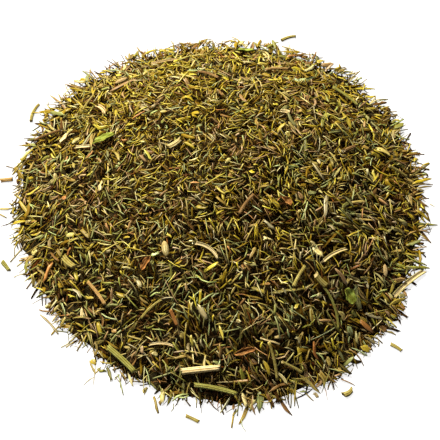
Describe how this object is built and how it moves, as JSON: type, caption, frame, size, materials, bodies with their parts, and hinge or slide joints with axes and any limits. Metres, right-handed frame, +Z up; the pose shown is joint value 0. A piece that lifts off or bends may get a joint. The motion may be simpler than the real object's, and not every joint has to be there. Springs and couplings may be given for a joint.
{
  "type": "heap of dried cut dill",
  "caption": "Round heap of dried cut dill: fine leaf threads in a low mound, with bits of stalk, leaf flakes and seeds lying among them.",
  "frame": {"origin": "on the table, under the middle of the heap's box", "axes": "+Z up, out of the heap's top; +X to the right and -Y towards the viewer in the picture"},
  "size_m": [0.0904, 0.0932, 0.025],
  "materials": {
    "olive_leaf": "dry, dull olive leaf threads, some greener and some browner",
    "green_leaf": "dry, dull dark green leaf",
    "green_stalk": "dry grey-green stalk, ribbed lengthwise",
    "straw_stalk": "dry straw-yellow stalk with a faint sheen",
    "cream_pith": "dry cream pith and skin, dull",
    "brown_stalk": "dry brown stalk, dull",
    "rust_flake": "dry rust-brown skin, dull",
    "seed_coat": "dry tan seed coat with pale ribs"
  },
  "bodies": {
    "root": {"leaf_thread_mound": "olive_leaf", "brown_stalk_back": "brown_stalk", "brown_stalk_far_left": "brown_stalk", "brown_stalk_far_right": "brown_stalk", "brown_stalk_front": "brown_stalk", "brown_stalk_front_left": "brown_stalk", "brown_stalk_front_right": "brown_stalk", "brown_stalk_middle": "brown_stalk", "cream_bend_middle": "cream_pith", "cream_curl_front": "cream_pith", "cream_stalk_left": "cream_pith", "cream_stub_top": "cream_pith", "dill_seed_back": "seed_coat", "dill_seed_middle": "seed_coat", "dill_seed_right": "seed_coat", "green_stalk_back": "green_stalk", "green_stalk_front": "green_stalk", "green_stalk_front_low": "green_stalk", "green_stalk_right": "green_stalk", "green_stub_left": "green_stalk", "green_stub_right": "green_stalk", "leaf_flake_back": "green_leaf", "leaf_flake_left": "green_leaf", "leaf_flake_right": "green_leaf", "pale_flake_left": "cream_pith", "pale_flake_right": "cream_pith", "pale_flake_top": "cream_pith", "rust_flake_front": "rust_flake", "rust_flake_left": "rust_flake", "rust_flake_middle": "rust_flake", "straw_stalk_back": "straw_stalk", "straw_stalk_back_left": "straw_stalk", "straw_stalk_edge_right": "straw_stalk", "straw_stalk_far_left": "straw_stalk", "straw_stalk_far_right": "straw_stalk", "straw_stalk_front": "straw_stalk", "straw_stalk_left": "straw_stalk", "straw_stalk_left_low": "straw_stalk", "straw_stalk_right": "straw_stalk", "straw_stalk_right_low": "straw_stalk", "stray_brown_left": "brown_stalk", "stray_green_front": "green_stalk", "stray_leaf_back": "green_leaf", "stray_leaf_far_left": "green_leaf", "stray_leaf_front": "green_leaf", "stray_leaf_right": "green_leaf", "stray_straw_left": "straw_stalk"}
  },
  "joints": []
}
